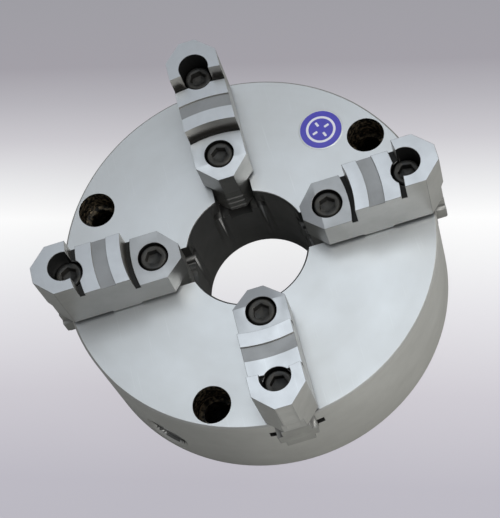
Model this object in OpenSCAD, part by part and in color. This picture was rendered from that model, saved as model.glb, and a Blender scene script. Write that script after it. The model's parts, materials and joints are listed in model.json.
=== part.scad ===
// Four-jaw self-centring scroll chuck with two-piece stepped jaws.
// The origin is the centre of the back face, and +Z points along the spindle
// axis towards the jaws. Jaw 1 lies along +X, and the others follow every 90 degrees.

/* [Body] */
// Outside diameter of the body
body_d = 250; // [249:0.5:252]
// Height of the body from its back face to its front face
body_h = 80; // [80:0.5:82]
// Diameter of the through bore
bore_d = 80; // [76:1:80]
// Chamfer on the outer edges and at the bore mouth
edge = 1.2; // [0.5:0.1:1.5]
// Diameter of the register recess in the back face
register_d = 200; // [199.5:0.5:200.5]
// Depth of the register recess
register_h = 5; // [4:0.5:5]

/* [Mounting holes] */
// Distance of the holes from the chuck axis
mount_r = 110; // [109.5:0.1:110.5]
// Clearance hole for an M16 screw
mount_d = 17.5; // [17:0.5:17.5]
// Counterbore diameter
mount_cbore_d = 25; // [24.5:0.5:25.5]
// Counterbore depth
mount_cbore_h = 19; // [17:1:22]

/* [Scroll and pinions] */
// Advance of the spiral, and of every jaw, in one turn of the scroll
pitch = 10; // [10:0.5:10]
// Height of the pinion axis above the back face
pinion_z = 26; // [26:0.1:26.2]
// Diameter of the pinion head
pinion_d = 28; // [28:0.1:28.2]
// Teeth on each pinion
pinion_teeth = 10; // [10:1:10]
// Teeth on the scroll
scroll_teeth = 60; // [60:1:60]
// Width across the key socket
key_af = 12; // [11:0.5:14]

/* [Jaws] */
// Width of the top jaws
jaw_w = 34.5; // [33:0.5:36]
// Distance of the top jaws' inner tips from the axis
jaw_tip_r = 41; // [40.5:0.5:42]
// Distance of the top jaws' outer tips from the axis
jaw_end_r = 133.7; // [132:0.1:135]
// Height of the top jaws' underside
jaw_z = 82.6; // [82:0.1:83]
// Height of the low step
step_z1 = 106.5; // [105:0.5:108]
// Height of the middle step
step_z2 = 118.8; // [117:0.1:120]
// Height of the top step
step_z3 = 130.6; // [129:0.1:132]
// Side-edge distance of the first riser from the axis
riser_1 = 74.4; // [73:0.1:76]
// Side-edge distance of the second riser from the axis
riser_2 = 108.4; // [107:0.1:109]

/* [Hidden] */
$fn = 96;
eps = 0.01;
jaw_count = 4;
pinion_count = 2;
pinion_angle = 225;
// The three mounting holes sit where the jaws and the pinions leave room.
mount_angles = [29.6, 147, 244.4];

body_r = body_d / 2;
bore_r = bore_d / 2;
register_r = register_d / 2;

// Cavity for the scroll, closed by the rear cover
hub_r = 51;
cavity_r = 87.5;
ceiling_z = 56.2;
cover_r = 98;
cover_top = 11.9;
cover_gap = 0.1;
cover_screw_r = 93;
cover_screw_count = 6;
cover_screw_d = 5;
cover_screw_l = 12;
cover_screw_head_d = 8.5;
cover_screw_head_h = 5;
cover_screw_hex_af = 4;
cover_screw_hex_h = 2.5;
cover_rim_r0 = 76;
cover_rim_r1 = 85;

// Jaw ways: a narrow neck at the face, wings below it and a groove for the teeth
way_gap = 0.05;
neck_w = 26;
wing_w = 36;
wing_z0 = 60;
wing_z1 = 67;
tooth_w = 14;
tooth_channel_w = tooth_w + 1.2;
tooth_z = 50.4;
jaw_floor_z = ceiling_z + 0.2;

// Scroll
scroll_bore_gap = 0.03;
scroll_r = 85.5;
scroll_floor_z = 50;
scroll_top_z = 56;
scroll_back_z = 40.2;
boss_z = 33.5;
boss_r = 56;
groove_w = 5.1;
spiral_r0 = 49;
spiral_quarters = 17;
tooth_t = 4.6;
// Turn of the jaw teeth that follows the lead of the spiral
tooth_lead = 1.5;

// Bevel gears, as slopes from the shared apex on the chuck axis at pinion_z
gear_slope = pinion_teeth / scroll_teeth;
gear_module = 2 / scroll_teeth;
gear_addendum = 0.75 * gear_module;
gear_dedendum = gear_module;
pressure = 25;
gear_play = 0.002;
gear_open = 0.012;
groove_half = PI / (2 * scroll_teeth) + gear_play;
gear_x0 = 58;
gear_x1 = 73;

// Pinions
pinion_gap = 0.05;
pinion_r = pinion_d / 2;
head_x0 = 100;
head_x1 = 121.5;
neck_r = 9;
journal_r = 5;
journal_x = 45.5;
pinion_mouth_r = 17.2;
key_depth = 18;
groove_x = 110;
retainer_d = 6;
retainer_groove_r = 11;

// Jaw screws, M12 with socket heads
screw_d = 12;
screw_head_d = 18;
screw_head_h = 12;
screw_clear_d = 13;
screw_cbore_d = 20;
screw_hex_af = 10;
screw_hex_h = 6;
inner_screw_r = 58.6;
outer_screw_r = 112.8;
inner_seat_z = 93.5;
outer_seat_z = 104.5;
inner_screw_l = 35;
outer_screw_l = 45;

// Top jaw outline and details
tip_w = 10.4;
tip_corner_r = 52.4;
end_w = 10.8;
end_corner_r = 122;
key_x0 = 75.7;
key_x1 = 95.7;
key_z = 81;
tongue_w = 12;
tongue_x0 = 68;
tongue_x1 = 104;
tongue_z = 85.1;
recess_x0 = 84;
recess_x1 = 93.8;
recess_h = 1.2;
relief_w = 3.5;
relief_h = 3;
bevel_x = 53;
bevel_z = 103.8;
// Below foot_z the outer end steps in, flush with the end of the master jaw.
foot_z = 98.6;
// Lands on the outer end, parted by slots; each leans out as it falls
land_w = 9.2;
land_pitch = 6.9;
land_lean = 0.8;
land_slot_h = 1.6;
land_slot_depth = 2;
land_count = 4;
foot_land_z = 91.7;

// Master jaw outline
master_tip_r = 42;
master_end_r = 131.6;
master_tip_w = 11;
master_end_w = 25;
wing_end_r = 119;
last_tooth_r = 125.5;
ridge_pitch = 6.2;
ridge_depth = 1.6;
// The outer end is narrow but for a flange on both sides.
narrow_r = 124.5;
narrow_w = 19;
flange_z0 = 64;
flange_z1 = 75;

// Badge
badge_r = 96.5;
badge_angle = 45;
badge_d = 30;
badge_h = 0.8;
badge_seat = 0.4;

function pinion_at(i) = pinion_angle + (i - 1) * 360 / pinion_count;
function jaw_at(i) = (i - 1) * 360 / jaw_count;
// Radius on the jaw's centre line of an arc about the chuck axis that meets its side edge at x
function arc_r(x) = sqrt(pow(x, 2) + pow(jaw_w / 2, 2));
function involute(a) = tan(a) - a * PI / 180;

module spin_to(angle) {
    rotate([0, 0, angle]) children();
}

module disc(r, z0, z1) {
    translate([0, 0, z0]) cylinder(r = r, h = z1 - z0);
}

module tube(r_in, r_out, z0, z1) {
    difference() {
        disc(r_out, z0, z1);
        disc(r_in, z0 - eps, z1 + eps);
    }
}

// A bar along X, centred on y = 0
module bar(x0, x1, w, z0, z1) {
    translate([x0, -w / 2, z0]) cube([x1 - x0, w, z1 - z0]);
}

// A shaft along X at the height of the pinion axis
module shaft(r, x0, x1) {
    translate([x0, 0, pinion_z]) rotate([0, 90, 0]) cylinder(r = r, h = x1 - x0);
}

// A six-sided bar with its flats across Y
module hex_bar(af, h) {
    cylinder(d = af / cos(30), h = h, $fn = 6);
}

// ---- Body ----

module body_blank() {
    rotate_extrude() polygon([
        [bore_r, register_h],
        [hub_r, register_h],
        [hub_r, ceiling_z],
        [cavity_r, ceiling_z],
        [cavity_r, cover_top],
        [cover_r + cover_gap, cover_top],
        [cover_r + cover_gap, register_h],
        [register_r, register_h],
        [register_r, 0],
        [body_r - edge, 0],
        [body_r, edge],
        [body_r, body_h - edge],
        [body_r - edge, body_h],
        [bore_r + edge, body_h],
        [bore_r, body_h - edge],
    ]);
}

module jaw_way() {
    x0 = bore_r - 10;
    x1 = body_r + 10;
    bar(x0, x1, neck_w + 2 * way_gap, ceiling_z - eps, body_h + 1);
    bar(x0, x1, wing_w + 2 * way_gap, wing_z0 - way_gap, wing_z1 + way_gap);
    bar(x0, x1, tooth_channel_w, scroll_floor_z, ceiling_z + 1);
}

module pinion_bore() {
    shaft(pinion_r + pinion_gap, cavity_r - 3, body_r + 1);
    mouth = pinion_mouth_r - pinion_r;
    translate([body_r - mouth, 0, pinion_z]) rotate([0, 90, 0])
        cylinder(r1 = pinion_r, r2 = pinion_mouth_r + 2, h = mouth + 2);
    shaft(journal_r + pinion_gap, journal_x - 0.5, hub_r + 1);
    translate([groove_x, 0, -1]) cylinder(d = retainer_d, h = pinion_z);
}

module mounting_hole() {
    translate([mount_r, 0, 0]) {
        disc(mount_d / 2, -1, body_h + 1);
        disc(mount_cbore_d / 2, body_h - mount_cbore_h, body_h + 1);
    }
}

module cover_screw_places() {
    for (k = [0:cover_screw_count - 1])
        spin_to(30 + k * 360 / cover_screw_count) translate([cover_screw_r, 0, 0]) children();
}

module chuck_body() {
    color("#a9afb4") difference() {
        body_blank();
        for (i = [1:jaw_count]) spin_to(jaw_at(i)) jaw_way();
        for (i = [1:pinion_count]) spin_to(pinion_at(i)) pinion_bore();
        for (a = mount_angles) spin_to(a) mounting_hole();
        cover_screw_places() disc(cover_screw_d / 2, cover_top - 1, cover_top + cover_screw_l + 1);
        spin_to(badge_angle) translate([badge_r, 0, 0])
            disc(badge_d / 2, body_h - badge_seat, body_h + 1);
    }
}

// ---- Rear cover ----

module rear_cover() {
    rim_z = scroll_back_z - cover_gap;
    notch_w = pinion_d + 2;
    seat_d = cover_screw_head_d + 0.7;
    color("#8d9297") difference() {
        union() {
            tube(hub_r + cover_gap, cover_r, register_h, cover_top);
            tube(cover_rim_r0, cover_rim_r1, cover_top - 1, rim_z);
        }
        for (i = [1:pinion_count]) spin_to(pinion_at(i))
            bar(cover_rim_r0 - 5, cover_rim_r1 + 1, notch_w, cover_top, rim_z + 1);
        cover_screw_places() {
            disc(cover_screw_d / 2 + 0.25, register_h - 1, cover_top + 1);
            disc(seat_d / 2, register_h - 1, register_h + cover_screw_head_h);
        }
    }
}

module cover_screws() {
    seat_z = register_h + cover_screw_head_h;
    color("#2b2d30") cover_screw_places() difference() {
        union() {
            disc(cover_screw_head_d / 2, register_h, seat_z);
            disc(cover_screw_d / 2, register_h, seat_z + cover_screw_l);
        }
        translate([0, 0, register_h - 1]) hex_bar(cover_screw_hex_af, cover_screw_hex_h + 1);
    }
}

// ---- Scroll ----

module scroll_blank() {
    tip_slope = gear_slope - gear_addendum;
    gear_r0 = boss_r + 0.6;
    gear_r1 = gear_x1 + 1;
    rotate_extrude() polygon([
        [hub_r + scroll_bore_gap, boss_z],
        [boss_r, boss_z],
        [gear_r0, pinion_z + gear_r0 * tip_slope],
        [gear_r1, pinion_z + gear_r1 * tip_slope],
        [gear_r1 + 0.5, scroll_back_z],
        [scroll_r, scroll_back_z],
        [scroll_r, scroll_top_z],
        [hub_r + scroll_bore_gap, scroll_top_z],
    ]);
}

// Quarter arcs about the corners of a square make a smooth spiral that grows by one pitch a turn.
module spiral_groove() {
    c = pitch / 8;
    corners = [[-c, c], [-c, -c], [c, -c], [c, c]];
    for (k = [0:spiral_quarters - 1])
        translate([corners[k % 4][0], corners[k % 4][1], scroll_floor_z])
            rotate([0, 0, 90 * k]) rotate_extrude(angle = 90)
                translate([spiral_r0 + k * pitch / 4 - groove_w / 2, 0])
                    square([groove_w, scroll_top_z - scroll_floor_z + 1]);
}

// One tooth space of the scroll's bevel gear: a pyramid slice from the apex, open at the back
module gear_space() {
    root = gear_slope + gear_dedendum;
    open = gear_slope - gear_addendum - gear_open;
    space_r0 = boss_r - 2;
    space_r1 = gear_x1 + 3.5;
    function half_w(h) = groove_half + (gear_slope - h) * tan(pressure);
    function corners(x) = [
        [x, -half_w(open) * x, open * x], [x, half_w(open) * x, open * x],
        [x, half_w(root) * x, root * x], [x, -half_w(root) * x, root * x]
    ];
    translate([0, 0, pinion_z]) polyhedron(
        points = concat(corners(space_r0), corners(space_r1)),
        faces = [[0, 1, 2, 3], [7, 6, 5, 4], [0, 4, 5, 1], [1, 5, 6, 2], [2, 6, 7, 3], [3, 7, 4, 0]]
    );
}

module scroll_plate() {
    step = 360 / scroll_teeth;
    color("#7f8489") difference() {
        scroll_blank();
        spiral_groove();
        for (k = [0:scroll_teeth - 1]) spin_to((k + 0.5) * step) gear_space();
    }
}

// ---- Pinions ----

// Outline of the bevel pinion's section at unit distance from the apex, one tooth on +X
function pinion_flank(side) =
    let (base = gear_slope * cos(pressure), tip = gear_slope + gear_addendum)
    [for (s = [0:4])
        let (
            r = base + (tip - base) * s / 4,
            turn = 90 / pinion_teeth - 1 + (involute(pressure) - involute(acos(base / r))) * 180 / PI
        )
        [r * cos(turn * side), r * sin(turn * side)]];

function turned(p, a) = [p[0] * cos(a) - p[1] * sin(a), p[0] * sin(a) + p[1] * cos(a)];

module pinion_gear() {
    root = gear_slope - gear_dedendum;
    step = 360 / pinion_teeth;
    outline = [for (k = [0:pinion_teeth - 1])
        let (
            left = pinion_flank(-1),
            right = pinion_flank(1),
            foot = 9.5,
            tooth = concat(
                [[root * cos(foot), -root * sin(foot)]],
                left,
                [for (s = [4:-1:0]) right[s]],
                [[root * cos(foot), root * sin(foot)]]
            )
        )
        for (p = tooth) turned(p, k * step) * gear_x0];
    // The section's +X turns to +Z as its height turns to +X.
    translate([gear_x0, 0, pinion_z]) rotate([0, -90, 0]) rotate([180, 0, 0])
        linear_extrude(height = gear_x1 - gear_x0, scale = gear_x1 / gear_x0) polygon(outline);
}

module pinion(i) {
    groove_h = retainer_d + 0.2;
    color("#6f7478") spin_to(pinion_at(i)) difference() {
        union() {
            pinion_gear();
            shaft(journal_r, journal_x, gear_x0 + 1);
            shaft(neck_r, gear_x1 - 1, head_x0 + 1);
            shaft(pinion_r, head_x0, head_x1);
        }
        translate([groove_x - groove_h / 2, 0, pinion_z]) rotate([0, 90, 0])
            tube(retainer_groove_r, pinion_r + 1, 0, groove_h);
        bar(head_x1 - key_depth, head_x1 + 1, key_af, pinion_z - key_af / 2, pinion_z + key_af / 2);
    }
}

module pinion_retainer(i) {
    color("#2b2d30") spin_to(pinion_at(i)) translate([groove_x, 0, 0]) difference() {
        cylinder(d = retainer_d, h = pinion_z - retainer_groove_r - 0.1);
        translate([0, 0, -1]) hex_bar(3, 4);
    }
}

// ---- Jaws ----

// Horizontal V grooves across the master jaw's inner end
module tip_ridges(z0, z1) {
    count = floor((z1 - z0) / ridge_pitch);
    w = ridge_pitch * 0.48;
    for (k = [0:count - 1]) translate([master_tip_r, neck_w / 2, z0 + (k + 0.5) * ridge_pitch])
        rotate([90, 0, 0]) linear_extrude(height = neck_w)
            polygon([[-1, -w], [ridge_depth, 0], [-1, w]]);
}

module master_outline() {
    tip_corner = master_tip_r + (neck_w - master_tip_w) / 2;
    end_corner = master_end_r - (neck_w - master_end_w) / 2;
    polygon([
        [master_tip_r, -master_tip_w / 2], [tip_corner, -neck_w / 2],
        [end_corner, -neck_w / 2], [master_end_r, -master_end_w / 2],
        [master_end_r, master_end_w / 2], [end_corner, neck_w / 2],
        [tip_corner, neck_w / 2], [master_tip_r, master_tip_w / 2],
    ]);
}

// One crescent tooth centred at radius r: its faces clear every curve that the spiral gives it
module jaw_tooth(r) {
    outer_curve = 50;
    inner_curve = 95;
    translate([r, 0, tooth_z]) rotate([0, 0, -tooth_lead])
        linear_extrude(height = jaw_floor_z - tooth_z + 1) difference() {
            intersection() {
                translate([tooth_t / 2 - outer_curve, 0]) circle(r = outer_curve, $fn = 360);
                translate([-tooth_t, -tooth_w / 2]) square([2 * tooth_t, tooth_w]);
            }
            translate([-tooth_t / 2 - inner_curve, 0]) circle(r = inner_curve, $fn = 360);
        }
}

module master_jaw(i) {
    // Each jaw's teeth start a quarter of the pitch further out than the last one's.
    first = spiral_r0 - pitch / 8 + (i - 1) * pitch / 4;
    wing_x0 = master_tip_r + 12;
    color("#8f959a") spin_to(jaw_at(i)) difference() {
        union() {
            translate([0, 0, jaw_floor_z]) linear_extrude(height = jaw_z - jaw_floor_z) master_outline();
            bar(wing_x0, wing_end_r, wing_w, wing_z0, wing_z1);
            bar(tongue_x0, tongue_x1, tongue_w, jaw_z - 1, tongue_z);
            for (r = [first:pitch:last_tooth_r]) jaw_tooth(r);
        }
        for (side = [-1, 1]) {
            translate([0, side * (tongue_w + neck_w) / 2, 0])
                bar(key_x0, key_x1, neck_w, key_z, jaw_z + 1);
            translate([0, side * (narrow_w + neck_w) / 2, 0]) {
                bar(narrow_r, master_end_r + 1, neck_w, flange_z1, jaw_z + 1);
                bar(narrow_r, master_end_r + 1, neck_w, jaw_floor_z - 1, flange_z0);
            }
        }
        translate([inner_screw_r, 0, 0]) disc(screw_d / 2, inner_seat_z - inner_screw_l - 1, 90);
        translate([outer_screw_r, 0, 0]) disc(screw_d / 2, outer_seat_z - outer_screw_l - 1, 90);
        tip_ridges(jaw_floor_z + 1, jaw_z - 2);
    }
}

module jaw_outline() {
    polygon([
        [jaw_tip_r, -tip_w / 2], [tip_corner_r, -jaw_w / 2],
        [end_corner_r, -jaw_w / 2], [jaw_end_r, -end_w / 2],
        [jaw_end_r, end_w / 2], [end_corner_r, jaw_w / 2],
        [tip_corner_r, jaw_w / 2], [jaw_tip_r, tip_w / 2],
    ]);
}

// Lands across the outer end, each leaning out as it falls from the slot above it
module end_lands(x, top_z, count) {
    for (k = [0:count - 1]) translate([x, land_w / 2, top_z - k * land_pitch])
        rotate([90, 0, 0]) linear_extrude(height = land_w)
            polygon([[1, 0], [-land_slot_depth, 0], [-land_slot_depth, -land_slot_h],
                [-land_lean, -land_slot_h], [0, -land_pitch], [1, -land_pitch]]);
}

module jaw_screw_hole(x, seat_z) {
    translate([x, 0, 0]) {
        disc(screw_clear_d / 2, key_z - 1, seat_z + 1);
        disc(screw_cbore_d / 2, seat_z, step_z3 + 1);
    }
}

module top_jaw(i) {
    color("#b9bec3") spin_to(jaw_at(i)) difference() {
        union() {
            translate([0, 0, jaw_z]) linear_extrude(height = step_z3 - jaw_z) jaw_outline();
            bar(key_x0, key_x1, jaw_w, key_z, jaw_z + 1);
        }
        disc(arc_r(riser_1), step_z1, step_z3 + 1);
        disc(arc_r(riser_2), step_z2, step_z3 + 1);
        tube(arc_r(riser_1) - relief_w, arc_r(riser_1), step_z1 - relief_h, step_z1 + 1);
        tube(arc_r(riser_2) - relief_w, arc_r(riser_2), step_z2 - relief_h, step_z2 + 1);
        tube(arc_r(recess_x0), arc_r(recess_x1), step_z2 - recess_h, step_z2 + 1);
        translate([0, jaw_w, 0]) rotate([90, 0, 0]) linear_extrude(height = 2 * jaw_w)
            polygon([[jaw_tip_r - 1, bevel_z - (step_z1 - bevel_z) / (bevel_x - jaw_tip_r)],
                [bevel_x, step_z1], [bevel_x, step_z1 + 1], [jaw_tip_r - 1, step_z1 + 1]]);
        bar(tongue_x0, tongue_x1, tongue_w, key_z - 1, tongue_z);
        jaw_screw_hole(inner_screw_r, inner_seat_z);
        jaw_screw_hole(outer_screw_r, outer_seat_z);
        translate([0, jaw_w, 0]) rotate([90, 0, 0]) linear_extrude(height = 2 * jaw_w)
            polygon([[jaw_end_r + 1, jaw_z - 1], [master_end_r, jaw_z - 1],
                [master_end_r, foot_z - jaw_end_r + master_end_r],
                [jaw_end_r, foot_z], [jaw_end_r + 1, foot_z]]);
        end_lands(jaw_end_r, foot_z + land_count * land_pitch, land_count);
        end_lands(master_end_r, foot_land_z, 1);
    }
}

module jaw_screw(i, x, seat_z, length) {
    head_top = seat_z + screw_head_h;
    color("#2b2d30") spin_to(jaw_at(i)) translate([x, 0, 0]) difference() {
        union() {
            disc(screw_head_d / 2, seat_z, head_top - 1);
            translate([0, 0, head_top - 1])
                cylinder(r1 = screw_head_d / 2, r2 = screw_head_d / 2 - 1, h = 1);
            disc(screw_d / 2, seat_z - length, seat_z + 1);
        }
        translate([0, 0, head_top - screw_hex_h]) hex_bar(screw_hex_af, screw_hex_h + 1);
    }
}

// ---- Badge ----

module badge() {
    color("#4a4fb8") spin_to(badge_angle) translate([badge_r, 0, 0])
        disc(badge_d / 2, body_h - badge_seat, body_h - badge_seat + badge_h);
}

chuck_body();
rear_cover();
cover_screws();
scroll_plate();
for (i = [1:pinion_count]) {
    pinion(i);
    pinion_retainer(i);
}
for (i = [1:jaw_count]) {
    master_jaw(i);
    top_jaw(i);
    jaw_screw(i, inner_screw_r, inner_seat_z, inner_screw_l);
    jaw_screw(i, outer_screw_r, outer_seat_z, outer_screw_l);
}
badge();
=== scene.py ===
"""Looks of a four-jaw scroll chuck: finished copies of its machined parts, turned screws and a badge."""
import json
import math

import bmesh
import bpy
from mathutils import Matrix, Vector


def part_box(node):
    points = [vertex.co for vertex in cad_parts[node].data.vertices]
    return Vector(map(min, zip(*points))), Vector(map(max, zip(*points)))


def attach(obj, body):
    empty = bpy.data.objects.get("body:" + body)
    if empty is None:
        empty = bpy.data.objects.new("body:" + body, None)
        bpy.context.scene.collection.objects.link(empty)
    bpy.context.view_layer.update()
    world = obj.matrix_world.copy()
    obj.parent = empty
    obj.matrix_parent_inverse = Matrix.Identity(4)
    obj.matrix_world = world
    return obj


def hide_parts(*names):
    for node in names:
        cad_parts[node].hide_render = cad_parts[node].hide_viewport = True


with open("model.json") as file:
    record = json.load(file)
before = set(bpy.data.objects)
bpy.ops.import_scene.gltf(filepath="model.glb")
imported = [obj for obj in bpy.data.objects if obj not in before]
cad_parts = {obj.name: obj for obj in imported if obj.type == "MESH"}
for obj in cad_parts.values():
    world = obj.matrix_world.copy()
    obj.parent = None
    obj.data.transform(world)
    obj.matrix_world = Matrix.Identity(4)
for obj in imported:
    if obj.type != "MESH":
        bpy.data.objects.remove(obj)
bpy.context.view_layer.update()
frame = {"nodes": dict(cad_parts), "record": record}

MM = 0.001
JAWS = (1, 2, 3, 4)
SHARP_ANGLE = math.radians(50)
BEVEL_ANGLE = math.radians(33)
# A face lies level when its normal's Z is above this
LEVEL = 0.97

body_low, body_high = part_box("chuck_body")
BODY_R = body_high.x
FACE_Z = body_high.z
BORE_R = 40 * MM
HOLE_R = 12.5 * MM
MOUNT_HOLES = [
    Vector(mount["pos_m"]) for mount in frame["record"]["mounts"] if mount["name"].startswith("front_bolt")
]
# Inside the body, faces whose middle is above this belong to the jaw ways
WAYS_START_Z = 45 * MM
PINION_Z = 26 * MM
PINION_ANGLES = (225, 45)
# Faces this near a pinion's axis, and this far out, belong to its bore
PINION_BORE_REACH = 17.3 * MM
PINION_BORE_START = 85 * MM
STEP_Z = (106.5 * MM, 118.8 * MM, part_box("top_jaw_1")[1].z)
RELIEF_R = ((72.8 * MM, 76.45 * MM), (106.2 * MM, 109.85 * MM))
RELIEF_DEPTH = 3 * MM
BAND_DEPTH = 1 * MM
LAST_RISER_R = 112 * MM
# The base jaws' teeth are below this, and keep their sharp edges
TEETH_TOP_Z = 56.8 * MM
SCREW_CENTRES = {
    kind: (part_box(f"jaw_screw_{kind}_1")[0].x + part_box(f"jaw_screw_{kind}_1")[1].x) / 2
    for kind in ("inner", "outer")
}
COUNTERBORE_R = 10.05 * MM
SCREW_SHANK_R = 6 * MM
SCREW_HEAD_H = 12 * MM
SCREW_KEY_W = 10 * MM


# ---- Camera, floor and light ----

def make_camera():
    """A long lens high above the jaws, rolled so that the third jaw points to the left."""
    camera = bpy.data.objects.new("camera", bpy.data.cameras.new("camera"))
    camera.data.lens = 114.65
    camera.data.clip_start = 0.05
    camera.data.clip_end = 30
    camera.location = (0.07636, -0.48288, 1.04603)
    camera.rotation_mode = "QUATERNION"
    camera.rotation_quaternion = (0.964068, 0.218375, 0.067527, -0.135371)
    bpy.context.scene.collection.objects.link(camera)
    bpy.context.scene.camera = camera


def add_node(tree, kind, settings=None, **inputs):
    """Adds a shader node, and sets or links its inputs. An input is named, or i and its number."""
    made = tree.nodes.new("ShaderNode" + kind)
    for name, value in (settings or {}).items():
        setattr(made, name, value)
    for name, value in inputs.items():
        by_number = name[0] == "i" and name[1:].isdigit()
        socket = made.inputs[int(name[1:])] if by_number else made.inputs[name.replace("_", " ")]
        if isinstance(value, bpy.types.NodeSocket):
            tree.links.new(value, socket)
        else:
            socket.default_value = value
    return made


def ramp(tree, factor, stops):
    """A colour ramp with its stops given as (place, colour)."""
    made = add_node(tree, "ValToRGB", Fac=factor)
    elements = made.color_ramp.elements
    while len(elements) < len(stops):
        elements.new(1)
    for element, (place, colour) in zip(elements, stops):
        element.position = place
        element.color = (*colour, 1)
    return made.outputs["Color"]


def make_floor():
    """A wide pale floor that glows for the camera, with a painted pool of light under the chuck fading to
    dusky behind it.
    """
    floor_r = 6
    gap = 0.3 * MM
    shape = bmesh.new()
    bmesh.ops.create_circle(shape, cap_ends=True, radius=floor_r, segments=96)
    bmesh.ops.translate(shape, verts=shape.verts, vec=(0, 0, body_low.z - gap))
    mesh = bpy.data.meshes.new("floor")
    shape.to_mesh(mesh)
    shape.free()
    floor = bpy.data.objects.new("floor", mesh)
    bpy.context.scene.collection.objects.link(floor)

    material = bpy.data.materials.new("floor_painted_glow")
    material.use_nodes = True
    tree = material.node_tree
    tree.nodes.clear()
    place = add_node(tree, "TexCoord").outputs["Object"]
    uphill = add_node(tree, "VectorMath", {"operation": "DOT_PRODUCT"}, i0=place, i1=(0.317, 0.948, 0))
    reach = add_node(tree, "MapRange", Value=uphill.outputs["Value"], From_Min=-0.2, From_Max=0.25)
    # Painted light: the floor's tone, brightest in a painted pool under the chuck and dusky behind it
    tone = ramp(tree, reach.outputs["Result"], (
        (0.00, (0.470, 0.462, 0.508)), (0.14, (0.497, 0.482, 0.535)), (0.28, (0.604, 0.584, 0.630)),
        (0.43, (0.775, 0.767, 0.796)), (0.505, (0.870, 0.870, 0.880)), (0.575, (0.956, 0.956, 0.956)),
        (0.645, (0.775, 0.775, 0.791)), (0.72, (0.584, 0.571, 0.604)), (0.79, (0.456, 0.445, 0.479)),
        (0.86, (0.356, 0.342, 0.376)), (1.00, (0.337, 0.332, 0.361)),
    ))
    # The floor glows though it is no lamp: for the camera it is mostly painted glow, with a little lit
    # diffuse
    glow = add_node(tree, "Emission", Color=tone, Strength=1.07)
    paper = add_node(tree, "BsdfDiffuse", Color=tone)
    seen = add_node(tree, "MixShader", i0=0.12, i1=glow.outputs[0], i2=paper.outputs[0])
    # Painted reflection: what the steel reflects sees the floor painted bright in front of the chuck and dull
    # elsewhere
    front = add_node(tree, "VectorMath", {"operation": "DOT_PRODUCT"}, i0=place, i1=(0.62, -0.78, 0))
    front_reach = add_node(tree, "MapRange", Value=front.outputs["Value"], From_Min=0.06, From_Max=0.24)
    painted_front_light = ramp(tree, front_reach.outputs["Result"], (
        (0, (0.42, 0.42, 0.405)), (1, (0.95, 0.94, 0.90)),
    ))
    floor_painted_for_reflections = add_node(tree, "BsdfDiffuse", Color=painted_front_light)
    to_camera = add_node(tree, "LightPath").outputs["Is Camera Ray"]
    mixed = add_node(tree, "MixShader", i0=to_camera, i1=floor_painted_for_reflections.outputs[0], i2=seen.outputs[0])
    add_node(tree, "OutputMaterial", Surface=mixed.outputs[0])
    mesh.materials.append(material)


def soft_box(name, place, aim, width, height, power, colour=(1, 1, 1)):
    """One studio soft box that faces its aim point."""
    light = bpy.data.lights.new(name, "AREA")
    light.shape = "RECTANGLE"
    light.size = width
    light.size_y = height
    light.energy = power
    light.color = colour
    box = bpy.data.objects.new(name, light)
    box.location = place
    box.rotation_mode = "QUATERNION"
    box.rotation_quaternion = (Vector(aim) - Vector(place)).to_track_quat("-Z", "Y")
    bpy.context.scene.collection.objects.link(box)


def make_light():
    """A pale room with a weak soft box above and two strong ones, on the right and in front."""
    world = bpy.data.worlds.new("pale_room")
    bpy.context.scene.world = world
    world.use_nodes = True
    tree = world.node_tree
    tree.nodes.clear()
    way = add_node(tree, "TexCoord").outputs["Generated"]
    height = add_node(tree, "SeparateXYZ", Vector=way).outputs["Z"]
    reach = add_node(tree, "MapRange", Value=height, From_Min=-1, From_Max=1)
    tone = ramp(tree, reach.outputs["Result"], (
        (0.0, (0.30, 0.30, 0.30)), (0.5, (0.36, 0.36, 0.37)), (0.62, (0.46, 0.46, 0.47)),
        (0.8, (0.55, 0.57, 0.60)), (1.0, (0.62, 0.65, 0.69)),
    ))
    room = add_node(tree, "Background", Color=tone, Strength=0.66)
    add_node(tree, "OutputWorld", Surface=room.outputs[0])
    chuck = (0, 0, 0.06)
    soft_box("soft_box_above", (0.08, 0.32, 1.35), chuck, 0.75, 0.6, 1.75, (0.92, 0.97, 1))
    soft_box("soft_box_right", (1.5, 0.1, 1.3), chuck, 0.9, 1.2, 9, (1, 0.99, 0.97))
    soft_box("soft_box_front", (0.8, -1.05, 1.6), chuck, 1.0, 0.7, 12, (1, 0.98, 0.95))


# ---- Shared surface effects ----

def new_group(name, inputs, outputs):
    """An empty node group; inputs are (name, kind, value) and outputs are (name, kind)."""
    tree = bpy.data.node_groups.new(name, "ShaderNodeTree")
    for label, kind, value in inputs:
        socket = tree.interface.new_socket(label, in_out="INPUT", socket_type="NodeSocket" + kind)
        if value is not None:
            socket.default_value = value
    for label, kind in outputs:
        tree.interface.new_socket(label, in_out="OUTPUT", socket_type="NodeSocket" + kind)
    return tree, tree.nodes.new("NodeGroupInput").outputs, tree.nodes.new("NodeGroupOutput").inputs


def straight_marks_group():
    """Fine straight lines of a grinding or milling pass, long in X and close together in Y."""
    tree, given, result = new_group(
        "straight_marks",
        [("Vector", "Vector", None), ("Lines per metre", "Float", 2500.0), ("Stretch", "Float", 0.02)],
        [("Height", "Float"), ("Streaks", "Float")],
    )
    split = add_node(tree, "SeparateXYZ", Vector=given["Vector"])
    along = add_node(tree, "Math", {"operation": "MULTIPLY"}, i0=split.outputs["X"], i1=given["Stretch"])
    drawn = add_node(tree, "CombineXYZ", X=along.outputs[0], Y=split.outputs["Y"], Z=split.outputs["Z"])
    fine = add_node(tree, "TexNoise", Vector=drawn.outputs[0], Scale=given["Lines per metre"], Detail=2.0)
    broad_scale = add_node(tree, "Math", {"operation": "MULTIPLY"}, i0=given["Lines per metre"], i1=0.12)
    broad = add_node(tree, "TexNoise", Vector=drawn.outputs[0], Scale=broad_scale.outputs[0], Detail=3.0)
    tree.links.new(fine.outputs["Fac"], result["Height"])
    tree.links.new(broad.outputs["Fac"], result["Streaks"])
    return tree


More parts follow.
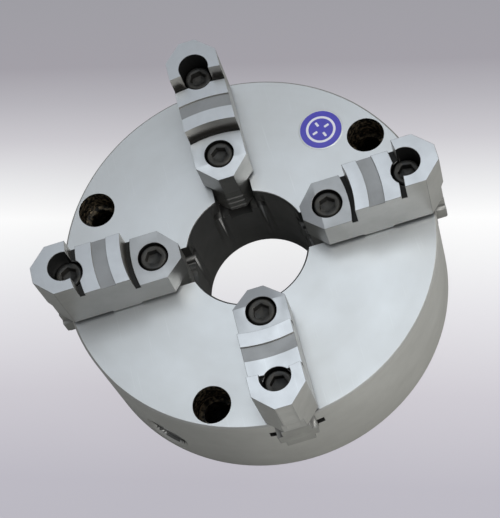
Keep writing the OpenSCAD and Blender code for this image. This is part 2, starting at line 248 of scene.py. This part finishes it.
def turned_rings_group():
    """The rings that a lathe tool or a rotary grinder leaves round the spindle axis."""
    tree, given, result = new_group(
        "turned_rings",
        [("Vector", "Vector", None), ("Rings per metre", "Float", 2000.0)],
        [("Height", "Float"), ("Streaks", "Float")],
    )
    split = add_node(tree, "SeparateXYZ", Vector=given["Vector"])
    flat = add_node(tree, "CombineXYZ", X=split.outputs["X"], Y=split.outputs["Y"])
    radius = add_node(tree, "VectorMath", {"operation": "LENGTH"}, i0=flat.outputs[0])
    drift = add_node(tree, "TexNoise", Vector=given["Vector"], Scale=9.0, Detail=1.0)
    wander = add_node(tree, "Math", {"operation": "MULTIPLY"}, i0=drift.outputs["Fac"], i1=0.0012)
    place = add_node(
        tree, "CombineXYZ", X=radius.outputs["Value"], Y=wander.outputs[0], Z=split.outputs["Z"]
    )
    fine = add_node(tree, "TexNoise", Vector=place.outputs[0], Scale=given["Rings per metre"], Detail=2.0)
    broad_scale = add_node(tree, "Math", {"operation": "MULTIPLY"}, i0=given["Rings per metre"], i1=0.1)
    broad = add_node(tree, "TexNoise", Vector=place.outputs[0], Scale=broad_scale.outputs[0], Detail=2.0)
    tree.links.new(fine.outputs["Fac"], result["Height"])
    tree.links.new(broad.outputs["Fac"], result["Streaks"])
    return tree


def handling_group():
    """Where hands, oil and cloths have dulled a bare surface: a cloudy mask with sparse fine scratches."""
    tree, given, result = new_group(
        "handling",
        [("Vector", "Vector", None), ("Cloud size", "Float", 0.03), ("Scratches", "Float", 0.12)],
        [("Clouds", "Float"), ("Marks", "Float")],
    )
    per_metre = add_node(tree, "Math", {"operation": "DIVIDE"}, i0=1.0, i1=given["Cloud size"])
    cloud = add_node(
        tree, "TexNoise", Vector=given["Vector"], Scale=per_metre.outputs[0], Detail=4.0, Roughness=0.6
    )
    soft = add_node(tree, "MapRange", Value=cloud.outputs["Fac"], From_Min=0.35, From_Max=0.68)
    bent = add_node(tree, "Mapping", Vector=given["Vector"], Rotation=(0.3, 0.2, 0.9), Scale=(1, 0.03, 1))
    line = add_node(tree, "TexNoise", Vector=bent.outputs[0], Scale=900.0, Detail=1.0)
    thin = add_node(tree, "MapRange", Value=line.outputs["Fac"], From_Min=0.69, From_Max=0.76)
    mark = add_node(tree, "Math", {"operation": "MULTIPLY"}, i0=thin.outputs[0], i1=given["Scratches"])
    tree.links.new(soft.outputs["Result"], result["Clouds"])
    tree.links.new(mark.outputs[0], result["Marks"])
    return tree


def make_groups():
    return {
        "straight": straight_marks_group(),
        "rings": turned_rings_group(),
        "handling": handling_group(),
    }


groups = make_groups()


# ---- Materials ----

def shaded_material(name, metallic, **fixed):
    """A material with one Principled shader, whose constants are set on its own sockets."""
    material = bpy.data.materials.new(name)
    material.use_nodes = True
    tree = material.node_tree
    tree.nodes.clear()
    shader = add_node(tree, "BsdfPrincipled", Metallic=metallic, **fixed)
    add_node(tree, "OutputMaterial", Surface=shader.outputs[0])
    return material, tree, shader


def machined_steel(name, bright, dull, roughness, marks="straight", turn=0, lines=2500.0,
                   depth=0.004, streaks=0.3, clouds=0.03, metallic=1.0):
    """Bare steel with its machining marks: bright and dull are its two tones, depth is in millimetres."""
    material, tree, shader = shaded_material(name, metallic)
    place = add_node(tree, "TexCoord").outputs["Object"]
    turned = add_node(tree, "Mapping", Vector=place, Rotation=(0, 0, math.radians(turn)))
    pattern = tree.nodes.new("ShaderNodeGroup")
    pattern.node_tree = groups[marks]
    tree.links.new(turned.outputs[0], pattern.inputs["Vector"])
    pattern.inputs["Lines per metre" if marks == "straight" else "Rings per metre"].default_value = lines
    worn = tree.nodes.new("ShaderNodeGroup")
    worn.node_tree = groups["handling"]
    worn.inputs["Cloud size"].default_value = clouds
    tree.links.new(place, worn.inputs["Vector"])
    streak = add_node(tree, "Math", {"operation": "MULTIPLY"}, i0=pattern.outputs["Streaks"], i1=streaks)
    cloud = add_node(tree, "Math", {"operation": "MULTIPLY_ADD"}, i0=worn.outputs["Clouds"],
                     i1=1 - streaks, i2=streak.outputs[0])
    tone = add_node(tree, "MixRGB", Fac=cloud.outputs[0], Color1=(*bright, 1), Color2=(*dull, 1))
    scratched = add_node(tree, "MixRGB", Fac=worn.outputs["Marks"], Color1=tone.outputs[0],
                         Color2=(*[min(1, c * 1.3) for c in bright], 1))
    tree.links.new(scratched.outputs[0], shader.inputs["Base Color"])
    rough = add_node(
        tree, "MapRange", Value=cloud.outputs[0], To_Min=roughness - 0.04, To_Max=roughness + 0.05
    )
    tree.links.new(rough.outputs[0], shader.inputs["Roughness"])
    bump = add_node(tree, "Bump", Strength=0.5, Distance=depth * MM, Height=pattern.outputs["Height"])
    tree.links.new(bump.outputs[0], shader.inputs["Normal"])
    return material


def black_oxide(name):
    """Blackened screw steel, a little browner where the oil has dried."""
    material, tree, shader = shaded_material(name, 0.55)
    place = add_node(tree, "TexCoord").outputs["Object"]
    worn = tree.nodes.new("ShaderNodeGroup")
    worn.node_tree = groups["handling"]
    worn.inputs["Cloud size"].default_value = 0.006
    tree.links.new(place, worn.inputs["Vector"])
    tone = add_node(tree, "MixRGB", Fac=worn.outputs["Clouds"], Color1=(0.040, 0.041, 0.041, 1),
                    Color2=(0.062, 0.058, 0.050, 1))
    tree.links.new(tone.outputs[0], shader.inputs["Base Color"])
    rough = add_node(tree, "MapRange", Value=worn.outputs["Clouds"], To_Min=0.36, To_Max=0.5)
    tree.links.new(rough.outputs[0], shader.inputs["Roughness"])
    grain = add_node(tree, "TexNoise", Vector=place, Scale=3500.0, Detail=2.0)
    bump = add_node(tree, "Bump", Strength=0.4, Distance=0.01 * MM, Height=grain.outputs["Fac"])
    tree.links.new(bump.outputs[0], shader.inputs["Normal"])
    return material


def hole_painted_shade_and_glints(name):
    """The deep walls of a mounting hole, painted near black as painted shade, with olive-brown patches of
    painted glints.
    """
    material, tree, shader = shaded_material(name, 0.8)
    place = add_node(tree, "TexCoord").outputs["Object"]
    glint_noise = add_node(tree, "TexNoise", Vector=place, Scale=420.0, Detail=3.0)
    glint_patches = add_node(tree, "MapRange", Value=glint_noise.outputs["Fac"], From_Min=0.45, From_Max=0.68)
    # Near-black painted shade with olive-brown painted glints
    tone = add_node(tree, "MixRGB", Fac=glint_patches.outputs[0], Color1=(0.010, 0.0095, 0.008, 1),
                    Color2=(0.16, 0.125, 0.08, 1))
    tree.links.new(tone.outputs[0], shader.inputs["Base Color"])
    rough = add_node(tree, "MapRange", Value=glint_noise.outputs["Fac"], To_Min=0.2, To_Max=0.42)
    tree.links.new(rough.outputs[0], shader.inputs["Roughness"])
    bump = add_node(tree, "Bump", Strength=0.5, Distance=0.05 * MM, Height=glint_noise.outputs["Fac"])
    tree.links.new(bump.outputs[0], shader.inputs["Normal"])
    return material


def enamel(name, light, dark, roughness, coat):
    """Stove enamel in one hue, with a faint unevenness under a clear coat."""
    material, tree, shader = shaded_material(name, 0.0, Coat_Weight=coat, Coat_Roughness=0.08)
    place = add_node(tree, "TexCoord").outputs["Object"]
    pool = add_node(tree, "TexNoise", Vector=place, Scale=260.0, Detail=2.0)
    tone = add_node(tree, "MixRGB", Fac=pool.outputs["Fac"], Color1=(*light, 1), Color2=(*dark, 1))
    tree.links.new(tone.outputs[0], shader.inputs["Base Color"])
    rough = add_node(tree, "MapRange", Value=pool.outputs["Fac"], To_Min=roughness, To_Max=roughness + 0.1)
    tree.links.new(rough.outputs[0], shader.inputs["Roughness"])
    bump = add_node(tree, "Bump", Strength=0.3, Distance=0.02 * MM, Height=pool.outputs["Fac"])
    tree.links.new(bump.outputs[0], shader.inputs["Normal"])
    return material


def make_body_finishes():
    return {
        "ground_face": machined_steel("ground_face", (0.735, 0.76, 0.775), (0.66, 0.675, 0.675), 0.40,
                                      marks="rings", lines=1500.0, depth=0.003, clouds=0.07),
        "turned_rim": machined_steel("turned_rim", (0.56, 0.56, 0.54), (0.47, 0.47, 0.45), 0.42,
                                     marks="rings", lines=1800.0, depth=0.006, clouds=0.05),
        "worn_edge": machined_steel("worn_edge", (0.78, 0.79, 0.79), (0.66, 0.67, 0.67), 0.30),
        # The spindle bore's walls are painted dark: painted shade inside the bore
        "bore_painted_shade": machined_steel("bore_painted_shade", (0.20, 0.20, 0.195), (0.15, 0.15, 0.146), 0.45,
                                    marks="rings", lines=900.0, depth=0.02, metallic=0.85),
        # The jaw ways and pinion bores inside the body are painted near black: painted shade in the slots
        "way_painted_shade": machined_steel("way_painted_shade", (0.13, 0.13, 0.125), (0.08, 0.08, 0.078), 0.45,
                                    depth=0.01, metallic=0.9),
        "hole_painted_shade_and_glints": hole_painted_shade_and_glints("hole_painted_shade_and_glints"),
        "turned_back": machined_steel("turned_back", (0.50, 0.505, 0.50), (0.42, 0.42, 0.415), 0.45,
                                      marks="rings", lines=1200.0, depth=0.01),
        "hardened_gear": machined_steel("hardened_gear", (0.30, 0.305, 0.31), (0.22, 0.22, 0.22), 0.38,
                                        marks="rings", lines=2500.0, depth=0.004),
        "black_oxide": black_oxide("black_oxide"),
    }


def make_jaw_finishes(turn):
    """The finishes of the jaws that lie along one axis; turn brings the marks across the jaw, and the low
    step is painted darker on the jaws along X and lighter on those along Y.
    """
    way = "x" if turn == 0 else "y"
    # Painted light and shade: one low-step material, in a shaded copy along X and a lit copy along Y
    low_painted_light_and_shade = {
        "x": ((0.47, 0.48, 0.49), (0.38, 0.39, 0.395)),
        "y": ((0.60, 0.62, 0.64), (0.50, 0.52, 0.535)),
    }
    return {
        "ground_step": machined_steel(f"ground_step_{way}", (0.655, 0.68, 0.705), (0.565, 0.585, 0.605), 0.33,
                                      turn=turn + 12, lines=2200.0, depth=0.003, clouds=0.02),
        "turned_riser": machined_steel(f"turned_riser_{way}", (0.47, 0.45, 0.41), (0.38, 0.365, 0.335), 0.38,
                                       marks="rings", lines=2600.0, depth=0.004, clouds=0.02),
        # A level band 1 mm below the middle step, coloured darker than the ground steps
        "milled_band": machined_steel(f"milled_band_{way}", (0.36, 0.365, 0.37), (0.29, 0.295, 0.295), 0.42,
                                      marks="rings", lines=1600.0, depth=0.006, clouds=0.02),
        "milled_side": machined_steel(f"milled_side_{way}", (0.47, 0.47, 0.455), (0.39, 0.39, 0.375), 0.42,
                                      turn=turn, lines=1500.0, depth=0.006, clouds=0.025),
        "ground_low": machined_steel(f"ground_low_{way}", *low_painted_light_and_shade[way], 0.36,
                                     turn=turn + 12, lines=2200.0, depth=0.003, clouds=0.02),
        "milled_bevel": machined_steel(f"milled_bevel_{way}", (0.34, 0.35, 0.355), (0.28, 0.29, 0.29), 0.38,
                                       turn=turn + 90, lines=1800.0, depth=0.004, clouds=0.02),
        # Near-black painted shade for the screw counterbores and the relief grooves under the step edges
        "dark_groove": machined_steel(f"dark_groove_{way}", (0.028, 0.028, 0.027), (0.018, 0.018, 0.018), 0.5,
                                      depth=0.01, metallic=0.7),
        # Darker colour on the rounded jaw edges: a painted dark reflection
        "soft_edge": machined_steel(f"soft_edge_{way}", (0.33, 0.33, 0.325), (0.27, 0.27, 0.265), 0.42),
        "hardened_base": machined_steel(f"hardened_base_{way}", (0.40, 0.40, 0.38), (0.30, 0.30, 0.285), 0.52,
                                        turn=turn, lines=1400.0, depth=0.006, clouds=0.02),
    }


finishes = make_body_finishes()
jaw_finishes = {0: make_jaw_finishes(0), 1: make_jaw_finishes(90)}


# ---- Making pieces ----

def cad_copy(node):
    """A merged copy of a CAD node's mesh, with each flat side made one face again."""
    shape = bmesh.new()
    shape.from_mesh(frame["nodes"][node].data)
    bmesh.ops.remove_doubles(shape, verts=shape.verts, dist=0.003 * MM)
    bmesh.ops.dissolve_limit(
        shape, angle_limit=math.radians(0.3), use_dissolve_boundaries=False,
        verts=shape.verts, edges=shape.edges, delimit={"NORMAL"},
    )
    return shape


def soften(shape, width, wanted=None):
    """Rounds the sharp outer edges, and returns the new narrow faces."""
    edges = [
        edge for edge in shape.edges
        if len(edge.link_faces) == 2 and edge.is_convex and edge.calc_face_angle(0) > BEVEL_ANGLE
        and (wanted is None or wanted(edge))
    ]
    made = bmesh.ops.bevel(
        shape, geom=edges, offset=width, offset_type="OFFSET", segments=2, profile=0.5,
        affect="EDGES", clamp_overlap=True, material=-1,
    )
    return made["faces"]


def finish_by_place(shape, finish_of, edge_faces, edge_finish):
    """Gives each face the finish that its place and direction ask for; returns the finishes used."""
    names = []

    def number(name):
        if name not in names:
            names.append(name)
        return names.index(name)

    shape.normal_update()
    for face in shape.faces:
        face.material_index = number(finish_of(face.calc_center_median(), face.normal))
    for face in edge_faces:
        if face.is_valid:
            face.material_index = number(edge_finish)
    return names


def add_piece(name, shape, materials, body, slot, *replaced):
    """Makes the object, lets it ride on its body and stands it in for its CAD nodes."""
    mesh = bpy.data.meshes.new(name)
    shape.to_mesh(mesh)
    shape.free()
    for material in materials:
        mesh.materials.append(material)
    mesh.shade_smooth()
    mesh.set_sharp_from_angle(angle=SHARP_ANGLE)
    piece = bpy.data.objects.new(name, mesh)
    bpy.context.scene.collection.objects.link(piece)
    even = piece.modifiers.new("even_shading", "WEIGHTED_NORMAL")
    even.keep_sharp = True
    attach(piece, body)
    if replaced:
        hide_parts(*replaced)
    return piece


def turned_shape(profile, steps):
    """A solid turned about Z; the profile's (radius, height) points start and end on the axis."""
    shape = bmesh.new()
    points = [shape.verts.new((radius, 0, height)) for radius, height in profile]
    lines = [shape.edges.new(pair) for pair in zip(points, points[1:])]
    bmesh.ops.spin(
        shape, geom=points + lines, cent=(0, 0, 0), axis=(0, 0, 1), angle=math.tau, steps=steps,
        use_merge=True, use_duplicate=False,
    )
    bmesh.ops.remove_doubles(shape, verts=shape.verts, dist=0.0005 * MM)
    bmesh.ops.recalc_face_normals(shape, faces=shape.faces)
    return shape


def across(jaw, place):
    """A place in a jaw's own directions: along it, across it and up."""
    return Matrix.Rotation(-math.radians(90 * (jaw - 1)), 3, "Z") @ place


def pinion_distance(place):
    """How far a place is from the nearest pinion's axis, if it lies out at the pinion bores."""
    nearest = math.inf
    for angle in PINION_ANGLES:
        local = Matrix.Rotation(-math.radians(angle), 3, "Z") @ place
        if local.x > PINION_BORE_START:
            nearest = min(nearest, math.hypot(local.y, local.z - PINION_Z))
    return nearest


# ---- Body and cover ----

def body_finish(place, facing):
    radius = math.hypot(place.x, place.y)
    hole_distance = min((place - hole).xy.length for hole in MOUNT_HOLES)
    # Mounting hole walls: painted shade with painted glints
    if hole_distance < HOLE_R + 0.1 * MM and place.z < FACE_Z - 0.2 * MM:
        return "hole_painted_shade_and_glints"
    if facing.z > LEVEL and place.z > FACE_Z - 1 * MM:
        return "ground_face"
    if radius > BODY_R - 2 * MM and 0.1 * MM < place.z < FACE_Z:
        return "turned_rim"
    # Pinion bores: near-black painted shade
    if pinion_distance(place) < PINION_BORE_REACH:
        return "way_painted_shade"
    # The spindle bore's walls: painted shade
    if radius < BORE_R + 1.5 * MM:
        return "bore_painted_shade"
    # The jaw ways: near-black painted shade
    if place.z > WAYS_START_Z:
        return "way_painted_shade"
    return "turned_back"


def finished_body():
    shape = cad_copy("chuck_body")

    def seen(edge):
        heights = [vert.co.z for vert in edge.verts]
        rims = [math.hypot(vert.co.x, vert.co.y) for vert in edge.verts]
        at_face = min(heights) > FACE_Z - 0.05 * MM
        at_rim = min(rims) > BODY_R - 0.2 * MM
        return at_face or at_rim

    edge_faces = soften(shape, 0.45 * MM, seen)
    used = finish_by_place(shape, body_finish, edge_faces, "turned_rim")
    materials = [finishes[name] for name in used]
    add_piece("finished_body", shape, materials, "housing", "body_steel", "chuck_body")


def finished_cover():
    shape = cad_copy("rear_cover")
    edge_faces = soften(shape, 0.3 * MM)
    used = finish_by_place(shape, lambda place, facing: "turned_back", edge_faces, "worn_edge")
    materials = [finishes[name] for name in used]
    add_piece("finished_cover", shape, materials, "housing", "cover_steel", "rear_cover")


def boring_ridges(number, hole):
    """The fine spiral that the boring tool left in the wall of a mounting hole's wide part."""
    pitch = 1.5 * MM
    turns = 11
    steps = 40
    root_r = HOLE_R + 0.1 * MM
    crest_r = HOLE_R - 0.4 * MM
    bottom = FACE_Z - 18.5 * MM
    shape = bmesh.new()
    corners = [(root_r, 0), (crest_r, pitch / 2), (root_r, pitch)]
    points = [shape.verts.new((radius, 0, bottom + height)) for radius, height in corners]
    lines = [shape.edges.new((points[k], points[(k + 1) % 3])) for k in range(3)]
    bmesh.ops.spin(
        shape, geom=points + lines, cent=(0, 0, 0), axis=(0, 0, 1), dvec=(0, 0, pitch / steps),
        angle=math.tau * turns, steps=steps * turns, use_duplicate=False,
    )
    open_edges = [edge for edge in shape.edges if edge.is_boundary]
    bmesh.ops.holes_fill(shape, edges=open_edges, sides=3)
    bmesh.ops.recalc_face_normals(shape, faces=shape.faces)
    bmesh.ops.translate(shape, verts=shape.verts, vec=(hole.x, hole.y, 0))
    # The ridges carry the hole's painted shade and painted glints
    add_piece(f"boring_ridges_{number}", shape, [finishes["hole_painted_shade_and_glints"]], "housing", "body_steel")


# ---- Pinions ----

def finished_pinion(number):
    node = f"pinion_{number}"
    shape = cad_copy(node)
    outer = BODY_R - 8 * MM

    def at_head(edge):
        return min(vert.co.xy.length for vert in edge.verts) > outer

    edge_faces = soften(shape, 0.4 * MM, at_head)
    used = finish_by_place(shape, lambda place, facing: "hardened_gear", edge_faces, "worn_edge")
    materials = [finishes[name] for name in used]
    add_piece(f"finished_{node}", shape, materials, f"key_pinion_{number}", "hardened_steel", node)


# ---- Jaws ----

def top_jaw_finish(jaw, place, facing):
    local = across(jaw, place)
    front = across(jaw, facing)
    # Screw counterbore walls, and their floors below the low step, get near-black painted shade
    for x in SCREW_CENTRES.values():
        in_hole = math.hypot(local.x - x, local.y) < COUNTERBORE_R
        if in_hole and (abs(facing.z) < 0.5 or place.z < STEP_Z[0] - 2 * MM):
            return "dark_groove"
    radius = math.hypot(local.x, local.y)
    # The relief grooves under the step edges get the same near-black painted shade
    for (inner, outer), step in zip(RELIEF_R, STEP_Z):
        if inner < radius < outer + 0.1 * MM and place.z < step - 0.2 * MM and abs(front.y) < 0.8:
            if place.z > step - RELIEF_DEPTH - 0.2 * MM:
                return "dark_groove"
    if facing.z > LEVEL:
        # The level band below the middle step is coloured darker than the ground steps
        if abs(place.z - (STEP_Z[1] - BAND_DEPTH)) < BAND_DEPTH / 2:
            return "milled_band"
        # The low step's colour is painted light and shade by the jaw's axis
        return "ground_low" if place.z < STEP_Z[0] + 1 * MM else "ground_step"
    if facing.z > 0.2:
        return "milled_bevel"
    if abs(front.y) < 0.5 and place.z > STEP_Z[0] and radius < LAST_RISER_R:
        return "turned_riser"
    return "milled_side"


def finished_top_jaw(jaw):
    node = f"top_jaw_{jaw}"
    shape = cad_copy(node)
    edge_faces = soften(shape, 0.35 * MM)
    made = jaw_finishes[(jaw - 1) % 2]
    # The rounded edges get a darker painted reflection
    used = finish_by_place(
        shape, lambda place, facing: top_jaw_finish(jaw, place, facing), edge_faces, "soft_edge"
    )
    materials = [made[name] for name in used]
    add_piece(f"finished_{node}", shape, materials, f"jaw_{jaw}", "top_jaw_steel", node)


def finished_master_jaw(jaw):
    node = f"master_jaw_{jaw}"
    shape = cad_copy(node)
    edge_faces = soften(shape, 0.35 * MM, lambda edge: max(vert.co.z for vert in edge.verts) > TEETH_TOP_Z)
    made = jaw_finishes[(jaw - 1) % 2]
    # The rounded edges get a darker painted reflection
    used = finish_by_place(shape, lambda place, facing: "hardened_base", edge_faces, "soft_edge")
    materials = [made[name] for name in used]
    add_piece(f"finished_{node}", shape, materials, f"jaw_{jaw}", "base_jaw_steel", node)


def jaw_screw(kind, jaw):
    """A socket-head screw with a knurled head, a chamfered rim and a hexagon socket with a drilled bottom."""
    node = f"jaw_screw_{kind}_{jaw}"
    low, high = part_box(node)
    head_r = (high.x - low.x) / 2
    half_side = math.pi / 6
    socket_r = SCREW_KEY_W / 2 / math.cos(half_side)
    socket_h = 6 * MM
    drill_point = 1.6 * MM
    shank_chamfer = 1 * MM
    seat_chamfer = 0.3 * MM
    knurls = 36
    knurl_depth = 0.3 * MM
    on_circle = 0.01 * MM
    top = high.z
    seat = top - SCREW_HEAD_H
    # The rounded rim of the head, in from its side and down from its top
    crown = [(0, 1.6 * MM), (0.35 * MM, 0.9 * MM), (1.0 * MM, 0.15 * MM), (1.4 * MM, 0)]
    profile = [
        (0, low.z), (SCREW_SHANK_R - shank_chamfer, low.z), (SCREW_SHANK_R, low.z + shank_chamfer),
        (SCREW_SHANK_R, seat), (head_r - seat_chamfer, seat), (head_r, seat + seat_chamfer),
        *[(head_r - inset, top - drop) for inset, drop in crown],
        (socket_r + 0.5 * MM, top), (socket_r, top - 0.45 * MM),
        (socket_r, top - socket_h), (0, top - socket_h - drill_point),
    ]
    shape = turned_shape(profile, 2 * knurls)
    step = math.pi / knurls
    for vert in shape.verts:
        radius = vert.co.xy.length
        turn = math.atan2(vert.co.y, vert.co.x)
        if abs(radius - head_r) < on_circle and round(turn / step) % 2:
            vert.co.xy *= 1 - knurl_depth / head_r
        if abs(radius - socket_r) < on_circle:
            side = (turn % (2 * half_side)) - half_side
            vert.co.xy *= math.cos(half_side) / math.cos(side)
    centre = (low + high) / 2
    tightened = Matrix.Rotation(0.35 * jaw + (0.5 if kind == "outer" else 0), 4, "Z")
    place = Matrix.Translation((centre.x, centre.y, 0))
    bmesh.ops.transform(shape, matrix=place @ tightened, verts=shape.verts)
    add_piece(f"turned_{node}", shape, [finishes["black_oxide"]], f"jaw_{jaw}", "black_screws", node)


# ---- Badge ----

def make_badge():
    """A round enamelled badge: plain rim, blue field, one thin ring and four short bars."""
    low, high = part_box("badge")
    radius = (high.x - low.x) / 2
    crown = high.z
    rim = crown - 0.12 * MM
    field = crown - 0.06 * MM
    rim_w = 0.9 * MM
    ring_in = 0.56 * radius
    ring_out = 0.67 * radius
    ring_edge = 0.01 * radius
    bar_reach = 0.31 * radius
    bar_length = 0.24 * radius
    bar_w = 0.11 * radius
    bar_h = 0.1 * MM
    bar_turn = 20
    corner_r = 0.5 * MM
    rings = [
        (0, low.z), (radius, low.z), (radius, rim - 0.1 * MM), (radius - 0.15 * MM, rim),
        (radius - 0.7 * MM, rim), (radius - rim_w, rim - 0.05 * MM), (ring_out, field - 0.02 * MM),
        (ring_out - ring_edge, crown - 0.02 * MM), (ring_in + ring_edge, crown), (ring_in, field),
        (0.3 * radius, field), (0, field),
    ]
    shape = turned_shape(rings, 72)
    centre = (low + high) / 2
    bmesh.ops.translate(shape, verts=shape.verts, vec=(centre.x, centre.y, 0))
    for quarter in range(4):
        bar = bmesh.ops.create_cube(shape, size=1)["verts"]
        size = Matrix.Diagonal((bar_length, bar_w, bar_h, 1))
        place = Matrix.Translation((centre.x, centre.y, field))
        spin = Matrix.Rotation(math.radians(90 * quarter + bar_turn), 4, "Z")
        reach = Matrix.Translation((bar_reach, 0, 0))
        bmesh.ops.transform(shape, matrix=place @ spin @ reach @ size, verts=bar)
        upright = [
            edge for vert in bar for edge in vert.link_edges
            if vert.co.z > field > edge.other_vert(vert).co.z
        ]
        bmesh.ops.bevel(
            shape, geom=upright, offset=corner_r, segments=3, profile=0.5,
            affect="EDGES", clamp_overlap=True, material=-1,
        )
    materials = [
        enamel("blue_enamel", (0.075, 0.065, 0.50), (0.055, 0.045, 0.40), 0.25, 0.6),
        enamel("white_enamel", (0.80, 0.80, 0.86), (0.72, 0.72, 0.82), 0.3, 0.5),
        finishes["worn_edge"],
    ]
    for face in shape.faces:
        place = face.calc_center_median()
        out = (place - centre).xy.length
        if out > radius - rim_w - 0.05 * MM:
            face.material_index = 2
        elif place.z > field + 0.005 * MM:
            face.material_index = 1
    add_piece("enamel_badge", shape, materials, "housing", "badge_enamel", "badge")


# ---- The whole chuck ----

make_camera()
make_floor()
make_light()

finished_body()
finished_cover()
make_badge()
for number, hole in enumerate(MOUNT_HOLES, 1):
    boring_ridges(number, hole)
for number in (1, 2):
    finished_pinion(number)
for jaw in JAWS:
    finished_master_jaw(jaw)
    finished_top_jaw(jaw)
    jaw_screw("inner", jaw)
    jaw_screw("outer", jaw)
for node, finish in (
    ("scroll_plate", "hardened_gear"), ("cover_screws", "black_oxide"),
    ("pinion_retainer_1", "black_oxide"), ("pinion_retainer_2", "black_oxide"),
):
    frame["nodes"][node].data.materials.clear()
    frame["nodes"][node].data.materials.append(finishes[finish])

scene = bpy.context.scene
scene.view_settings.view_transform = "Standard"
scene.cycles.use_denoising = True
